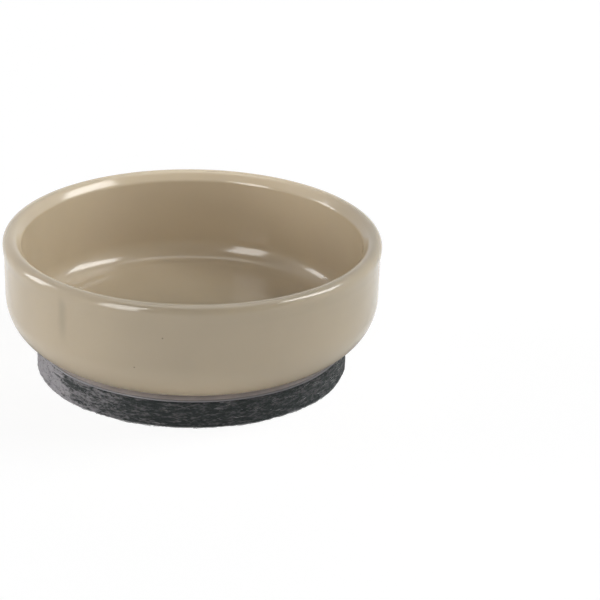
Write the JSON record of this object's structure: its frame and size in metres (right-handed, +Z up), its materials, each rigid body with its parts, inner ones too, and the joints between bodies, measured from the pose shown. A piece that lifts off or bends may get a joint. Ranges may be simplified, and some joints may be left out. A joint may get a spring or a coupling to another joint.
{
  "type": "castor cup",
  "caption": "Round glossy plastic cup on a felt pad that stands under a furniture leg or castor and protects the floor.",
  "frame": {"origin": "centre of the felt's underside, on the cup's axis, in the plane that the cup stands on", "axes": "+Z up along the cup's axis, out of its open mouth; X and Y are alike, because the cup is round"},
  "size_m": [0.06, 0.06, 0.0225],
  "materials": {
    "beige_plastic": "gloss",
    "adhesive_film": "satin",
    "needled_felt": "matte"
  },
  "bodies": {
    "root": {"cup": "beige_plastic", "adhesive_film": "adhesive_film", "felt_pad": "needled_felt"}
  },
  "joints": []
}
